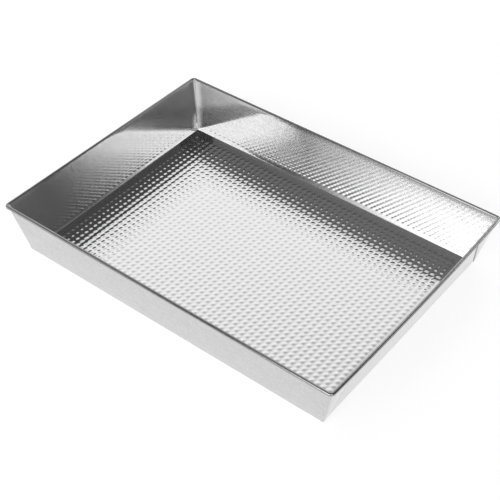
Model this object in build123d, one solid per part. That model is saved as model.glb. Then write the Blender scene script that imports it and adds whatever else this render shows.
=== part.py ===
from build123d import *
import os
from math import asin, atan, atan2, cos, degrees, hypot, radians, sin, tan

# Rectangular baking tin of tinplate, in millimetres.
# +X runs along the length, +Y across, +Z up, and the origin is the centre of the base, on the table.
# The tin is one folded sheet, whose top edge is curled round one steel wire.

# Driving dimensions
RIM_LENGTH = 380.0  # over the curled rim along X
RIM_WIDTH = 279.0  # over the curled rim along Y
HEIGHT = 57.4  # table to the top of the rim
BASE_LENGTH = 349.5  # between the lines where the end walls meet the table
BASE_WIDTH = 252.5  # between the lines where the long walls meet the table
SHEET = 0.4  # thickness of the tinplate
WIRE = 2.6  # diameter of the rim wire
FIT = 0.05  # space between the wire and the curl
BEND = 1.6  # outside radius of the bend between floor and wall
CORNER = 2.0  # outside radius of the upright corners
WIRE_CORNER = 3.4  # radius of the wire's own line at its four bends
WIRE_GAP = 0.3  # between the butted ends of the wire

# The curl's section in degrees about the wire: 0 points outwards and 90 up.
# It starts inside the wall, goes over the top, down outside and under, and stops short of the wall.
CURL_START = 190.0
CURL_TURN = 334.5

# Dimensions that follow
CURL_INNER = WIRE / 2 + FIT
CURL_OUTER = CURL_INNER + SHEET
WIRE_X = RIM_LENGTH / 2 - CURL_OUTER
WIRE_Y = RIM_WIDTH / 2 - CURL_OUTER
WIRE_Z = HEIGHT - CURL_OUTER
PLEAT_TOP = WIRE_Z - (CURL_INNER + CURL_OUTER) / 2 + FIT  # inside the metal of the curl's underside


def wall_tilt(run):
    """Angle from upright of a wall that leans out by run at the wire's height and just clears the wire."""
    return atan2(run, WIRE_Z) - asin(CURL_INNER / hypot(run, WIRE_Z))


END_TILT = wall_tilt(WIRE_X - BASE_LENGTH / 2)
SIDE_TILT = wall_tilt(WIRE_Y - BASE_WIDTH / 2)

# Round the foot of a corner the floor takes 90 degrees of the sheet, and each wall 90 degrees and its
# flare. What is left of the full circle is the pleat, folded down its middle and laid on the end wall.
END_FLARE = atan(tan(SIDE_TILT) * cos(END_TILT))
SIDE_FLARE = atan(tan(END_TILT) * cos(SIDE_TILT))
PLEAT_ANGLE = (radians(90) - END_FLARE - SIDE_FLARE) / 2
PLEAT_LEAN = PLEAT_ANGLE - END_FLARE  # of the crease, from straight up the end wall


def tub(inset, swell, top):
    """The solid within the tin's outer faces, moved in by inset all round and out by swell at the ends."""
    outlines = []
    for z in (inset, top):
        half_length = BASE_LENGTH / 2 + z * tan(END_TILT) + (swell - inset) / cos(END_TILT)
        half_width = BASE_WIDTH / 2 + z * tan(SIDE_TILT) - inset / cos(SIDE_TILT)
        outlines.append(Pos(0, 0, z) * RectangleRounded(2 * half_length, 2 * half_width, CORNER - inset))
    return loft(outlines, ruled=True)


def bent_tub(inset, top):
    """The same solid with the bend between floor and walls."""
    solid = tub(inset, 0, top)
    return fillet(solid.edges().group_by(Axis.Z)[0], BEND - inset)


def pleat_prism(x_side, y_side):
    """A prism along X over the pleat: up the corner from its foot, and back down the crease."""
    foot = (y_side * BASE_WIDTH / 2, 0)
    beside_foot = (foot[0] + y_side * CORNER, 0)
    ridge = (beside_foot[0] + y_side * PLEAT_TOP * tan(SIDE_TILT), PLEAT_TOP)
    crease = (foot[0] - y_side * PLEAT_TOP / cos(END_TILT) * tan(PLEAT_LEAN), PLEAT_TOP)
    triangle = make_face(Plane.YZ * Polyline(foot, beside_foot, ridge, crease, close=True))
    return extrude(triangle, x_side * RIM_LENGTH)


def sweep_rim(section):
    """Carries a section, drawn with X outwards and Y up, once round the line of the wire."""
    line = Pos(0, 0, WIRE_Z) * RectangleRounded(2 * WIRE_X, 2 * WIRE_Y, WIRE_CORNER)
    start = Plane(origin=(0, -WIRE_Y, WIRE_Z), x_dir=(0, -1, 0), z_dir=(1, 0, 0))
    return sweep(start * section, path=line.face().outer_wire())


def curl_point(radius, angle):
    return (radius * cos(radians(angle)), radius * sin(radians(angle)))


def curl():
    """The edge of the sheet rolled round the wire: a ring with a slot where the wall comes in."""
    stop = CURL_START - CURL_TURN
    middle = (CURL_START + stop) / 2
    outer = ThreePointArc(*(curl_point(CURL_OUTER, angle) for angle in (CURL_START, middle, stop)))
    inner = ThreePointArc(*(curl_point(CURL_INNER, angle) for angle in (stop, middle, CURL_START)))
    ends = [Line(outer @ 1, inner @ 0), Line(inner @ 1, outer @ 0)]
    return sweep_rim(make_face([outer, inner, *ends]))


def make_pan_sheet():
    """The one folded sheet: floor, four walls, four pleats and the curl."""
    swollen = tub(0, 2 * SHEET, WIRE_Z)
    pleats = [swollen & pleat_prism(x_side, y_side) for x_side in (-1, 1) for y_side in (-1, 1)]
    outside = bent_tub(0, WIRE_Z) + pleats
    return outside - bent_tub(SHEET, HEIGHT) + curl()


def make_rim_wire():
    """A round wire bent to the rim's line, its ends butted at the middle of the back."""
    rod = sweep_rim(make_face(CenterArc((0, 0), WIRE / 2, 0, 360)))
    return rod - Pos(0, WIRE_Y, WIRE_Z) * Box(WIRE_GAP, 2 * WIRE, 2 * WIRE)


NODES = {"pan_sheet": make_pan_sheet(), "rim_wire": make_rim_wire()}
os.makedirs("parts", exist_ok=True)
for name, shape in NODES.items():
    export_step(shape, f"parts/{name}.step")
    print(name, round(shape.volume, 1), "mm3")
print("wall tilts", round(degrees(END_TILT), 2), round(degrees(SIDE_TILT), 2))
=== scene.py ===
import math

import bpy
import numpy as np
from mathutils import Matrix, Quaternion, Vector


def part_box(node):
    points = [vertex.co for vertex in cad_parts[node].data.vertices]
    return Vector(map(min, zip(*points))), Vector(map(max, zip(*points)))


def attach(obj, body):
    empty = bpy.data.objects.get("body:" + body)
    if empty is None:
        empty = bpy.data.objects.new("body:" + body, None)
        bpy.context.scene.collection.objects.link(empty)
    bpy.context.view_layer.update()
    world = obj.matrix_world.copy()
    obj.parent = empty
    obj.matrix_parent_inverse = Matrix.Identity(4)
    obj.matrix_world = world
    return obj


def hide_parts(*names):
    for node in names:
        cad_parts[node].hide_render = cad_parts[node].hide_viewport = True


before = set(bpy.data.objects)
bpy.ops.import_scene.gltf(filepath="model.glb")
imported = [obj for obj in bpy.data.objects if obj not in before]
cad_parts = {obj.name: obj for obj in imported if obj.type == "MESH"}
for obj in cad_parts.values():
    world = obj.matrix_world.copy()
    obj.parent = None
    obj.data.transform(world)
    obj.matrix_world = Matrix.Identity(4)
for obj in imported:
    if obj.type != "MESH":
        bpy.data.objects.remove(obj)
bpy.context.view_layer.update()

MM = 0.001

# The camera stands in front of one corner of the tin, above and to the right of it, and looks down
# into it with a longish lens, so that two walls show their insides and two their outsides.
# Angles are in degrees, and the lens and its sensor are in millimetres.
VIEW_AZIMUTH = 37.84
VIEW_ELEVATION = 42.33
VIEW_DISTANCE = 1097.6 * MM
VIEW_POINT = Vector((-6.2, 5.6, 0)) * MM
VIEW_ROLL = 0.35
LENS = 80.43
SENSOR_WIDTH = 36
NEAREST_SEEN = 50 * MM

azimuth, elevation = math.radians(VIEW_AZIMUTH), math.radians(VIEW_ELEVATION)
backwards = Vector(
    (
        math.sin(azimuth) * math.cos(elevation),
        -math.cos(azimuth) * math.cos(elevation),
        math.sin(elevation),
    )
)
camera_data = bpy.data.cameras.new("camera")
camera_data.lens = LENS
camera_data.sensor_width = SENSOR_WIDTH
camera_data.clip_start = NEAREST_SEEN
camera = bpy.data.objects.new("camera", camera_data)
camera.location = VIEW_POINT + VIEW_DISTANCE * backwards
camera.rotation_mode = "QUATERNION"
roll = Quaternion((0, 0, 1), math.radians(VIEW_ROLL))
camera.rotation_quaternion = (-backwards).to_track_quat("-Z", "Y") @ roll
bpy.context.scene.collection.objects.link(camera)
bpy.context.scene.camera = camera


# The room is a dim studio with soft panels of light, standing far off: a white sweep behind the tin, two
# bright banks to either side of the viewer, and weaker ones at the left and the right. Overhead it is dark.
def linear(code):
    """The linear colour, with alpha 1, of an sRGB hex code."""
    shares = np.array([int(code[i : i + 2], 16) for i in (1, 3, 5)]) / 255
    low, high = shares / 12.92, ((shares + 0.055) / 1.055) ** 2.4
    return (*np.where(shares <= 0.04045, low, high), 1)


def add(tree, kind, inputs=(), **settings):
    """Adds one node. Its inputs are plain values or sockets to link, and its settings are its own fields."""
    node = tree.nodes.new(kind)
    for name, value in settings.items():
        setattr(node, name, value)
    for socket, value in dict(inputs).items():
        if isinstance(value, bpy.types.NodeSocket):
            tree.links.new(value, node.inputs[socket])
        else:
            node.inputs[socket].default_value = value
    return node


JUST_AHEAD = 0.001


def panel_light(tree, direction, middle, half_size, fade, strength):
    """The light from one flat panel far away, seen along a direction.

    middle is its azimuth and elevation. Beside it, a direction lies across / ahead and up / ahead from the
    panel's middle, and the light falls from full to none over fade, just inside each edge. There is none
    unless the direction points at least JUST_AHEAD towards the panel.
    """
    turn, lift = math.radians(middle[0]), math.radians(middle[1])
    ahead = (math.cos(turn) * math.cos(lift), math.sin(turn) * math.cos(lift), math.sin(lift))
    across = (-math.sin(turn), math.cos(turn), 0)
    up = tuple(np.cross(ahead, across))
    depth, *offsets = [
        add(tree, "ShaderNodeVectorMath", {0: direction, 1: axis}, operation="DOT_PRODUCT").outputs["Value"]
        for axis in (ahead, across, up)
    ]
    ahead_of_it = {0: depth, 1: JUST_AHEAD}
    in_front = add(tree, "ShaderNodeMath", ahead_of_it, operation="GREATER_THAN").outputs[0]
    light = add(tree, "ShaderNodeMath", {0: in_front, 1: strength}, operation="MULTIPLY").outputs[0]
    for offset, half, soft in zip(offsets, half_size, fade):
        beside = add(tree, "ShaderNodeMath", {0: offset, 1: depth}, operation="DIVIDE").outputs[0]
        distance = add(tree, "ShaderNodeMath", {0: beside}, operation="ABSOLUTE").outputs[0]
        edge, full = math.tan(math.radians(half)), math.tan(math.radians(half - soft))
        inside = add(
            tree,
            "ShaderNodeMapRange",
            {"Value": distance, "From Min": edge, "From Max": full},
            interpolation_type="SMOOTHSTEP",
        ).outputs["Result"]
        light = add(tree, "ShaderNodeMath", {0: light, 1: inside}, operation="MULTIPLY").outputs[0]
    return light


ROOM_LIGHT = 0.12
# Each panel has its middle (azimuth, elevation), its half size and its soft edge (across, up and down), all
# in degrees, and its strength.
PANELS = (
    # the white sweep behind the tin, and its slow fade upwards
    ((128, 20), (36, 41), (14, 24), 0.54),
    ((128, 30), (34, 58), (20, 44), 0.50),
    # faint light from high up at the left and from low down at the right
    ((-140, 62), (30, 22), (28, 20), 0.20),
    ((22, 15), (20, 15), (15, 10), 0.06),
    # the two bright banks, with a dark gap between them where the viewer stands
    ((-86, 22), (31, 27), (10, 10), 3.0),
    ((-33, 28), (9, 30), (5, 10), 2.8),
    # the panel at the left, and the two at the right
    ((-157, 18), (35, 20), (6, 8), 1.2),
    ((41, 16), (7, 11), (5, 6), 1.5),
    ((62, 14), (14, 22), (6, 8), 3.0),
)
world = bpy.data.worlds.new("studio")
world.use_nodes = True
tree = world.node_tree
tree.nodes.clear()
direction = add(tree, "ShaderNodeTexCoord").outputs["Generated"]
light = ROOM_LIGHT
for panel in PANELS:
    more = panel_light(tree, direction, *panel)
    light = add(tree, "ShaderNodeMath", {0: light, 1: more}, operation="ADD").outputs[0]
seen_directly = add(tree, "ShaderNodeLightPath").outputs["Is Camera Ray"]
room = add(tree, "ShaderNodeBackground", {"Color": linear("#ffffff"), "Strength": light})
backdrop = add(tree, "ShaderNodeBackground", {"Color": linear("#ffffff"), "Strength": 1.0})
mix = add(tree, "ShaderNodeMixShader", {"Fac": seen_directly, 1: room.outputs[0], 2: backdrop.outputs[0]})
add(tree, "ShaderNodeOutputWorld", {"Surface": mix.outputs[0]})
scene = bpy.context.scene
scene.world = world
scene.view_settings.view_transform = "Standard"

# The table is a plain white sheet that glows a little, as paper does under strong light.
TABLE_HALF = 6.0
table_mesh = bpy.data.meshes.new("table")
corners = [(-1, -1, 0), (1, -1, 0), (1, 1, 0), (-1, 1, 0)]
table_mesh.from_pydata([Vector(c) * TABLE_HALF for c in corners], [], [(0, 1, 2, 3)])
table = bpy.data.objects.new("table", table_mesh)
scene.collection.objects.link(table)
paper = bpy.data.materials.new("white_paper")
paper.use_nodes = True
tree = paper.node_tree
tree.nodes.clear()
shader = add(
    tree,
    "ShaderNodeBsdfPrincipled",
    {
        "Base Color": linear("#b0b0b0"),
        "Roughness": 0.9,
        "Emission Color": linear("#ffffff"),
        "Emission Strength": 0.72,
    },
)
add(tree, "ShaderNodeOutputMaterial", {"Surface": shader.outputs[0]})
table_mesh.materials.append(paper)


# The floor of the tin is the middle of the one tinplate sheet, 0.4 mm thick. Before bending it was pressed
# between rolls into rows of low round bumps, with lower ones between them and faint ridges across the tin.
# A plain border was left beside each wall for the bend.
SHEET = 0.4 * MM
BASE_LENGTH = 349.5 * MM
BASE_WIDTH = 252.5 * MM
BEND = 1.6 * MM
PITCH_X = 6.34 * MM
PITCH_Y = 6.27 * MM
BUMPS_LONG = 52
BUMPS_WIDE = 38
BUMP_HEIGHT = 0.46 * MM
RIDGE_SHARE = 0.24
BETWEEN_SHARE = 0.26
BUMP_STEPS = 6
# The first bump begins this many pitches in from the left edge of the floor, and from the front one.
FIRST_X = 0.93
FIRST_Y = 0.45
# How far the walls lean, and so where the floor ends, comes from the wire that the rim is curled round.
WIRE = 2.6 * MM
FIT = 0.05 * MM
CURL_INNER = WIRE / 2 + FIT
CURL_OUTER = CURL_INNER + SHEET
far_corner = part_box("pan_sheet")[1]
WIRE_X = far_corner.x - CURL_OUTER
WIRE_Y = far_corner.y - CURL_OUTER
WIRE_Z = far_corner.z - CURL_OUTER


def wall_tilt(run):
    """Angle from upright of a wall that leans out by run at the wire's height and just clears the wire."""
    return math.atan2(run, WIRE_Z) - math.asin(CURL_INNER / math.hypot(run, WIRE_Z))


END_TILT = wall_tilt(WIRE_X - BASE_LENGTH / 2)
SIDE_TILT = wall_tilt(WIRE_Y - BASE_WIDTH / 2)


def bend_start(half_base, tilt):
    """Distance from the middle of the floor to where the bend up into a wall begins."""
    return half_base - BEND * math.tan((math.pi / 2 - tilt) / 2)


FLOOR_X = bend_start(BASE_LENGTH / 2, END_TILT)
FLOOR_Y = bend_start(BASE_WIDTH / 2, SIDE_TILT)
SHARPEST_SMOOTH = math.radians(50)


def make_piece(name, points, faces, node):
    """A mesh object of these points and faces, turned to face outwards, that stands for a node.

    It is smooth except at edges that turn more than SHARPEST_SMOOTH. It faces outwards when the volume
    that its triangles enclose, a sixth of the sum of a . (b x c), comes out positive.
    """
    mesh = bpy.data.meshes.new(name)
    mesh.from_pydata(points.tolist(), [], faces)
    mesh.update()
    mesh.calc_loop_triangles()
    triangles = np.zeros(len(mesh.loop_triangles) * 3, np.int32)
    mesh.loop_triangles.foreach_get("vertices", triangles)
    a, b, c = (points[triangles[i::3]] for i in range(3))
    if np.einsum("ij,ij->", a, np.cross(b, c)) < 0:
        mesh.flip_normals()
    mesh.shade_smooth()
    mesh.set_sharp_from_angle(angle=SHARPEST_SMOOTH)
    piece = bpy.data.objects.new(name, mesh)
    scene.collection.objects.link(piece)
    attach(piece, "root")
    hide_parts(node)
    return piece


def bump_lines(half, pitch, first, count):
    """Grid lines across the floor: one at each edge, and BUMP_STEPS to each bump from first to last."""
    start = -half + first * pitch
    inner = start + np.arange(count * BUMP_STEPS + 1) * pitch / BUMP_STEPS
    return np.concatenate([[-half], inner, [half]])


def bump_wave(lines, half, pitch, first, count):
    """How the bumps rise along one way of the floor, and how whole the pattern is there, both from 0 to 1.

    The rise is half of one minus the cosine of the turn through each bump. The pattern comes up from the
    plain border over the outer half of its first and last bump, as 3 t squared minus 2 t cubed.
    """
    cell = (lines + half) / pitch - first
    inside = (cell > 0) & (cell < count)
    rise = np.where(inside, (1 - np.cos(2 * np.pi * cell)) / 2, 0)
    share = np.clip(2 * np.minimum(cell, count - cell), 0, 1)
    return rise, share * share * (3 - 2 * share)


def emboss(x, y):
    """Height of the pressed pattern: a bump in each cell, a lower one between every four, and faint ridges.

    A bump is the product of the rises both ways, and one between is the product of one minus each. The
    ridges run across the tin, as the rise along it alone.
    """
    rise_x, whole_x = bump_wave(x, FLOOR_X, PITCH_X, FIRST_X, BUMPS_LONG)
    rise_y, whole_y = bump_wave(y, FLOOR_Y, PITCH_Y, FIRST_Y, BUMPS_WIDE)
    bumps = (1 - RIDGE_SHARE) * np.outer(rise_y, rise_x)
    between = BETWEEN_SHARE * np.outer((1 - rise_y) * whole_y, (1 - rise_x) * whole_x)
    ridges = RIDGE_SHARE * np.outer(whole_y, rise_x)
    return BUMP_HEIGHT * (bumps + between + ridges)


def floor_skin(x, y, z):
    """A grid of points over the lines x and y, at the height of the bumps above z."""
    plane = np.stack(np.meshgrid(x, y), -1)
    return np.concatenate([plane, (z + emboss(x, y))[..., None]], -1)


def grid_faces(index):
    """One face for each square of a grid of point numbers."""
    return np.stack([index[:-1, :-1], index[:-1, 1:], index[1:, 1:], index[1:, :-1]], -1).reshape(-1, 4)


def outline(index):
    """The point numbers once round the edge of a grid."""
    return np.concatenate([index[0, :-1], index[:-1, -1], index[-1, :0:-1], index[:0:-1, 0]])


def thin(lines):
    """The numbers of every second line between the two edges, with the edges kept."""
    return np.concatenate([[0], np.arange(1, lines - 1, 2), [lines - 1]])


def edge_faces(top_ring, under_ring, kept):
    """Faces down the sheet's cut edge. Each joins one step below to the one or two steps above it.

    kept are the places in the ring above of the points that the ring below has as well.
    """
    spans = np.diff(np.append(kept, len(top_ring)))
    after = np.roll(under_ring, -1)
    faces = []
    for span in (1, 2):
        here = np.flatnonzero(spans == span)
        upper = top_ring[(kept[here, None] + np.arange(span + 1)) % len(top_ring)]
        faces += np.column_stack([upper, after[here], under_ring[here]]).tolist()
    return faces


# The top has every grid line, and the underside every second one, so that the mesh stays light. The
# underside is drawn backwards so that it faces the table, and the edge joins the two.
line_x = bump_lines(FLOOR_X, PITCH_X, FIRST_X, BUMPS_LONG)
line_y = bump_lines(FLOOR_Y, PITCH_Y, FIRST_Y, BUMPS_WIDE)
thin_x, thin_y = thin(len(line_x)), thin(len(line_y))
top = floor_skin(line_x, line_y, SHEET)
under = floor_skin(line_x[thin_x], line_y[thin_y], 0)
top_index = np.arange(top.shape[0] * top.shape[1]).reshape(top.shape[:2])
under_index = top_index.size + np.arange(under.shape[0] * under.shape[1]).reshape(under.shape[:2])
top_ring = outline(top_index)
kept = np.flatnonzero(np.isin(top_ring, top_index[np.ix_(thin_y, thin_x)]))
floor_faces = grid_faces(top_index).tolist() + grid_faces(under_index)[:, ::-1].tolist()
floor_faces += edge_faces(top_ring, outline(under_index), kept)
floor_points = np.concatenate([top.reshape(-1, 3), under.reshape(-1, 3)])
pan_floor = make_piece("pan_floor", floor_points, floor_faces, "pan_sheet")

# Bright tinplate: steel sheet with a flowed coating of tin. The eye gets a nearly perfect mirror, a little
# milky, with faint lines along the way that it was rolled and a fine mottle from the tin's crystals.
# Real rolling lines are a tenth of a millimetre apart. These are as coarse as they need to be to show.
GRAIN_WIDTH = 0.9 * MM
GRAIN_LENGTH = 14 * MM
MOTTLE = 2.5 * MM
RELIEF = 0.004 * MM
# The noises seldom leave these ranges, the mottle the first one and its mean with the grain the second.
MOTTLE_LOW, MOTTLE_HIGH = 0.3, 0.7
MEAN_LOW, MEAN_HIGH = 0.35, 0.65


def make_tinplate(name, dark, bright, smoothest, roughest):
    """Tinplate between two tones and two roughnesses, which follow the rolling lines and the mottle."""
    tinplate = bpy.data.materials.new(name)
    tinplate.use_nodes = True
    tree = tinplate.node_tree
    tree.nodes.clear()
    place = add(tree, "ShaderNodeTexCoord").outputs["Object"]
    stretch = (1 / GRAIN_LENGTH, 1 / GRAIN_WIDTH, 1 / GRAIN_WIDTH)
    along = add(tree, "ShaderNodeMapping", {"Vector": place, "Scale": stretch}).outputs[0]
    grain = add(tree, "ShaderNodeTexNoise", {"Vector": along, "Scale": 1.0, "Detail": 3.0}).outputs["Fac"]
    crystals = add(tree, "ShaderNodeTexNoise", {"Vector": place, "Scale": 1 / MOTTLE, "Detail": 4.0})
    mottle = crystals.outputs["Fac"]
    height = add(tree, "ShaderNodeMath", {0: grain, 1: mottle}, operation="ADD").outputs[0]
    bump = add(tree, "ShaderNodeBump", {"Height": height, "Distance": RELIEF}).outputs[0]
    rough = add(
        tree,
        "ShaderNodeMapRange",
        {
            "Value": mottle,
            "From Min": MOTTLE_LOW,
            "From Max": MOTTLE_HIGH,
            "To Min": smoothest,
            "To Max": roughest,
        },
    )
    mean = add(tree, "ShaderNodeMath", {0: height, 1: 0.5}, operation="MULTIPLY").outputs[0]
    tone = add(tree, "ShaderNodeValToRGB", {"Fac": mean})
    for end, position, colour in zip(tone.color_ramp.elements, (MEAN_LOW, MEAN_HIGH), (dark, bright)):
        end.position = position
        end.color = linear(colour)
    shader = add(
        tree,
        "ShaderNodeBsdfPrincipled",
        {
            "Base Color": tone.outputs["Color"],
            "Metallic": 1.0,
            "Roughness": rough.outputs["Result"],
            "Normal": bump,
        },
    )
    add(tree, "ShaderNodeOutputMaterial", {"Surface": shader.outputs[0]})
    return tinplate


# The floor keeps the plain tone of bright tinplate. The walls and the curl below are painted darker than it.
floor_tin = make_tinplate("bright_tinplate", "#dadada", "#e2e2e2", 0.05, 0.09)
pan_floor.data.materials.append(floor_tin)

# The walls are the rest of the sheet, bent up from the floor. Their top edge is curled outwards over the
# wire, down and under it, till it almost meets the wall again. The upright corners are folded tight.
CORNER_FOOT = 0.35 * MM
WIRE_CORNER = 3.4 * MM
CURL_TURN = math.radians(320)
BEND_STEPS = 8
WALL_STEPS = 14
CURL_STEPS = 48


def wall_profile(half_base, tilt, wire):
    """The sheet's two faces from the end of the floor to the end of the curl, as distance out and height.

    The line runs round the bend about its centre, straight up the tilted wall and clockwise round the wire.
    Its inner face lies on the tin's inside and then on the outside of the curl, one sheet from the other.
    """
    start = bend_start(half_base, tilt)
    turn = np.linspace(-math.pi / 2, -tilt, BEND_STEPS + 1)
    roll_angle = math.pi - tilt - np.linspace(0, CURL_TURN, CURL_STEPS + 1)
    faces = []
    for bend_radius, curl_radius in ((BEND - SHEET, CURL_OUTER), (BEND, CURL_INNER)):
        bend = np.stack([start + bend_radius * np.cos(turn), BEND + bend_radius * np.sin(turn)], -1)
        curl = np.stack(
            [wire + curl_radius * np.cos(roll_angle), WIRE_Z + curl_radius * np.sin(roll_angle)], -1
        )
        share = np.linspace(0, 1, WALL_STEPS + 1)[1:-1, None]
        wall = bend[-1] + share * (curl[0] - bend[-1])
        faces.append(np.concatenate([bend, wall, curl]))
    return np.concatenate([faces[0], faces[1][::-1]])


LONG_STEPS = 36
SHORT_STEPS = 28
CORNER_STEPS = 10


def around(ends, sides, radius):
    """Carries a section once round the tin: its points may differ on the end walls and on the long walls.

    Every corner is a quarter circle of the given radius for each point, and its height goes from the one
    wall's to the other's as the square of the cosine. Sides are straight from arc to arc.
    """
    stations = []
    for quarter, steps in enumerate((LONG_STEPS, SHORT_STEPS, LONG_STEPS, SHORT_STEPS)):
        first = quarter * math.pi / 2
        angles = first + np.linspace(0, math.pi / 2, CORNER_STEPS + 1)
        signs = np.sign([math.cos(first + math.pi / 4), math.sin(first + math.pi / 4)])
        cosine, sine = np.cos(angles)[:, None], np.sin(angles)[:, None]
        x = signs[0] * (ends[:, 0] - radius) + radius * cosine
        y = signs[1] * (sides[:, 0] - radius) + radius * sine
        z = ends[:, 1] * cosine**2 + sides[:, 1] * sine**2
        stations.append((np.stack([x, y, z], -1), steps))
    rings = []
    for i, (corner, steps) in enumerate(stations):
        rings.append(corner)
        after = stations[(i + 1) % 4][0][0]
        share = np.linspace(0, 1, steps + 1)[1:-1, None, None]
        rings.append(corner[-1] + share * (after - corner[-1]))
    return np.concatenate(rings)


BOW = 2.0 * MM
BOW_RISE = 1.5
BOW_REACH = 8


def settle(points):
    """Moves points along +X, as that end of a real tin springs out: by BOW at the middle of its rim.

    The move falls off as one minus the square of y, as the height to the power BOW_RISE and as x to the
    power BOW_REACH.
    """
    moved = points.copy()
    height = np.clip(points[..., 2] / WIRE_Z, 0, 1)
    across = 1 - np.clip(points[..., 1] / WIRE_Y, -1, 1) ** 2
    near_end = np.clip(points[..., 0] / FLOOR_X, 0, 1) ** BOW_REACH
    moved[..., 0] += BOW * height**BOW_RISE * across * near_end
    return moved


def wrap_faces(rows, columns):
    """Faces of a grid that is closed both ways."""
    index = np.arange(rows * columns).reshape(rows, columns)
    return grid_faces(np.pad(index, ((0, 1), (0, 1)), mode="wrap")).tolist()


end_profile = wall_profile(BASE_LENGTH / 2, END_TILT, WIRE_X)
side_profile = wall_profile(BASE_WIDTH / 2, SIDE_TILT, WIRE_Y)
rise = np.clip(end_profile[:, 1] / WIRE_Z, 0, 1)
wall_count = BEND_STEPS + WALL_STEPS + 1
corner_top = WIRE_CORNER + end_profile[:, 0] - WIRE_X
step = np.arange(len(end_profile))
in_curl = (step >= wall_count) & (step < len(end_profile) - wall_count)
corner_wall = CORNER_FOOT + (WIRE_CORNER - CURL_OUTER - CORNER_FOOT) * rise
corner_radius = np.where(in_curl, corner_top, corner_wall)
rings = settle(around(end_profile, side_profile, corner_radius))
pan_walls = make_piece("pan_walls", rings.reshape(-1, 3), wrap_faces(*rings.shape[:2]), "pan_sheet")

# The walls take a darker copy of the floor's tinplate. This is painted shade: it stands in for the dimmer
# reflection of the table near the tin.
shaded_wall_tin = make_tinplate("tinplate_with_painted_shade", "#c0c0c0", "#d0d0d0", 0.07, 0.10)
# The curl takes a darker copy still. This is painted shade for the dark reflections and shadow along the
# curl.
shaded_rim_tin = make_tinplate("tinplate_rim_with_painted_shade", "#8c8c8c", "#a8a8a8", 0.07, 0.12)
pan_walls.data.materials.append(shaded_wall_tin)
pan_walls.data.materials.append(shaded_rim_tin)
curl_faces = np.tile(in_curl, len(rings)).astype(np.int32)
pan_walls.data.polygons.foreach_set("material_index", curl_faces)

# Each corner is closed by an envelope pleat: the spare metal is folded double and laid flat on the outside
# of the end wall. Its outer layer runs on from the long wall round a soft ridge to the folded edge, and its
# top is rolled into the rim.
PLEAT_ROWS = 24
PLEAT_FOOT = 0.7 * MM
PLEAT_TOP = WIRE_Z - CURL_OUTER + 0.5 * SHEET
SUNK = 0.75 * SHEET
FULL_FROM = 6 * SHEET
PLEAT_RIDGE = 1.6 * MM
RIDGE_OF_WIDTH = 0.4
FOLD_STEPS = 8
RIDGE_STEPS = 8
end_flare = math.atan(math.tan(SIDE_TILT) * math.cos(END_TILT))
side_flare = math.atan(math.tan(END_TILT) * math.cos(SIDE_TILT))
PLEAT_LEAN = (math.pi / 2 - end_flare - side_flare) / 2 - end_flare


def pleat_points():
    """The pleat of the corner at +X +Y, as rows of closed sections from its foot to its top.

    A section leaves the end wall at the crease, goes half round the folded edge, straight across to the
    ridge, a quarter round that on to the long wall's face, and back inside the metal of the walls. It is
    two sheets thick where it is wider than FULL_FROM, and thins in proportion towards the foot.
    """
    z = np.linspace(PLEAT_FOOT, PLEAT_TOP, PLEAT_ROWS)[:, None]
    wall_x = BASE_LENGTH / 2 + z * math.tan(END_TILT)
    wall_y = BASE_WIDTH / 2 + z * math.tan(SIDE_TILT)
    crease = BASE_WIDTH / 2 - z / math.cos(END_TILT) * math.tan(PLEAT_LEAN)
    width = wall_y - crease
    full = np.clip(width / FULL_FROM, 0, 1)
    thick = 2 * SHEET * full / math.cos(END_TILT)
    fold = np.minimum(thick / 2, width / 4)
    ridge = np.minimum(RIDGE_OF_WIDTH * width, PLEAT_RIDGE)
    fold_turn = np.linspace(-math.pi / 2, math.pi / 2, FOLD_STEPS + 1)[None]
    ridge_turn = np.linspace(0, math.pi / 2, RIDGE_STEPS + 1)[None]
    x = np.hstack(
        [
            wall_x - SUNK,
            wall_x + thick / 2 * (1 + np.sin(fold_turn)),
            wall_x + thick - ridge * (1 - np.cos(ridge_turn)),
            wall_x + thick - ridge,
            wall_x - SUNK,
        ]
    )
    y = np.hstack(
        [
            crease + fold,
            crease + fold * (1 - np.cos(fold_turn)),
            wall_y - ridge * (1 - np.sin(ridge_turn)),
            wall_y - SUNK,
            wall_y - SUNK - ridge,
        ]
    )
    return np.stack([x, y, np.broadcast_to(z, x.shape)], -1)


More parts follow.
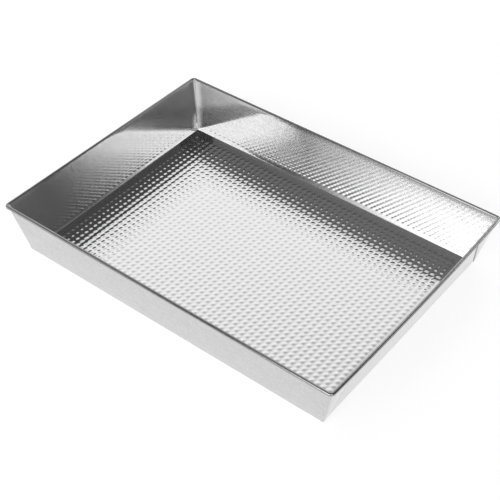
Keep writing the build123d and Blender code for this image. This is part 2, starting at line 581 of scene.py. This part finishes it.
def tube_faces(rows, columns):
    """Faces of a tube of closed sections, with a face over each end."""
    index = np.arange(rows * columns).reshape(rows, columns)
    sides = grid_faces(np.pad(index, ((0, 0), (0, 1)), mode="wrap"))
    return sides.tolist() + [index[0, ::-1].tolist(), index[-1].tolist()]


one_pleat = pleat_points()
rows, columns = one_pleat.shape[:2]
for name, side_x, side_y in (
    ("pleat_back_right", 1, 1),
    ("pleat_back_left", -1, 1),
    ("pleat_front_right", 1, -1),
    ("pleat_front_left", -1, -1),
):
    placed = settle(one_pleat * (side_x, side_y, 1)).reshape(-1, 3)
    pleat = make_piece(name, placed, tube_faces(rows, columns), "pan_sheet")
    # The pleats take the walls' darker copy, with its painted shade.
    pleat.data.materials.append(shaded_wall_tin)

# The wire in the rim is mild steel, bent to a rectangle before the sheet was curled round it. Its two ends
# are butted behind. The gap between them is inside the curl, so the ring is drawn closed.
WIRE_SIDES = 12
wire_turn = np.linspace(0, 2 * np.pi, WIRE_SIDES, endpoint=False)
circle = WIRE / 2 * np.stack([np.cos(wire_turn), np.sin(wire_turn)], -1)
wire_rings = settle(
    around(circle + (WIRE_X, WIRE_Z), circle + (WIRE_Y, WIRE_Z), WIRE_CORNER + circle[:, 0])
)
rim_wire = make_piece(
    "rim_wire_bent", wire_rings.reshape(-1, 3), wrap_faces(*wire_rings.shape[:2]), "rim_wire"
)

# Drawn mild steel wire: greyer than the tin, with the fine even roughness that the die leaves.
DIE_MARKS = 0.01 * MM
steel = bpy.data.materials.new("drawn_steel_wire")
steel.use_nodes = True
tree = steel.node_tree
tree.nodes.clear()
place = add(tree, "ShaderNodeTexCoord").outputs["Object"]
spots = add(tree, "ShaderNodeTexNoise", {"Vector": place, "Scale": 1 / MM, "Detail": 3.0}).outputs["Fac"]
rough = add(tree, "ShaderNodeMapRange", {"Value": spots, "To Min": 0.25, "To Max": 0.45})
bump = add(tree, "ShaderNodeBump", {"Height": spots, "Distance": DIE_MARKS}).outputs[0]
shader = add(
    tree,
    "ShaderNodeBsdfPrincipled",
    {
        "Base Color": linear("#a8a7a5"),
        "Metallic": 1.0,
        "Roughness": rough.outputs["Result"],
        "Normal": bump,
    },
)
add(tree, "ShaderNodeOutputMaterial", {"Surface": shader.outputs[0]})
rim_wire.data.materials.append(steel)
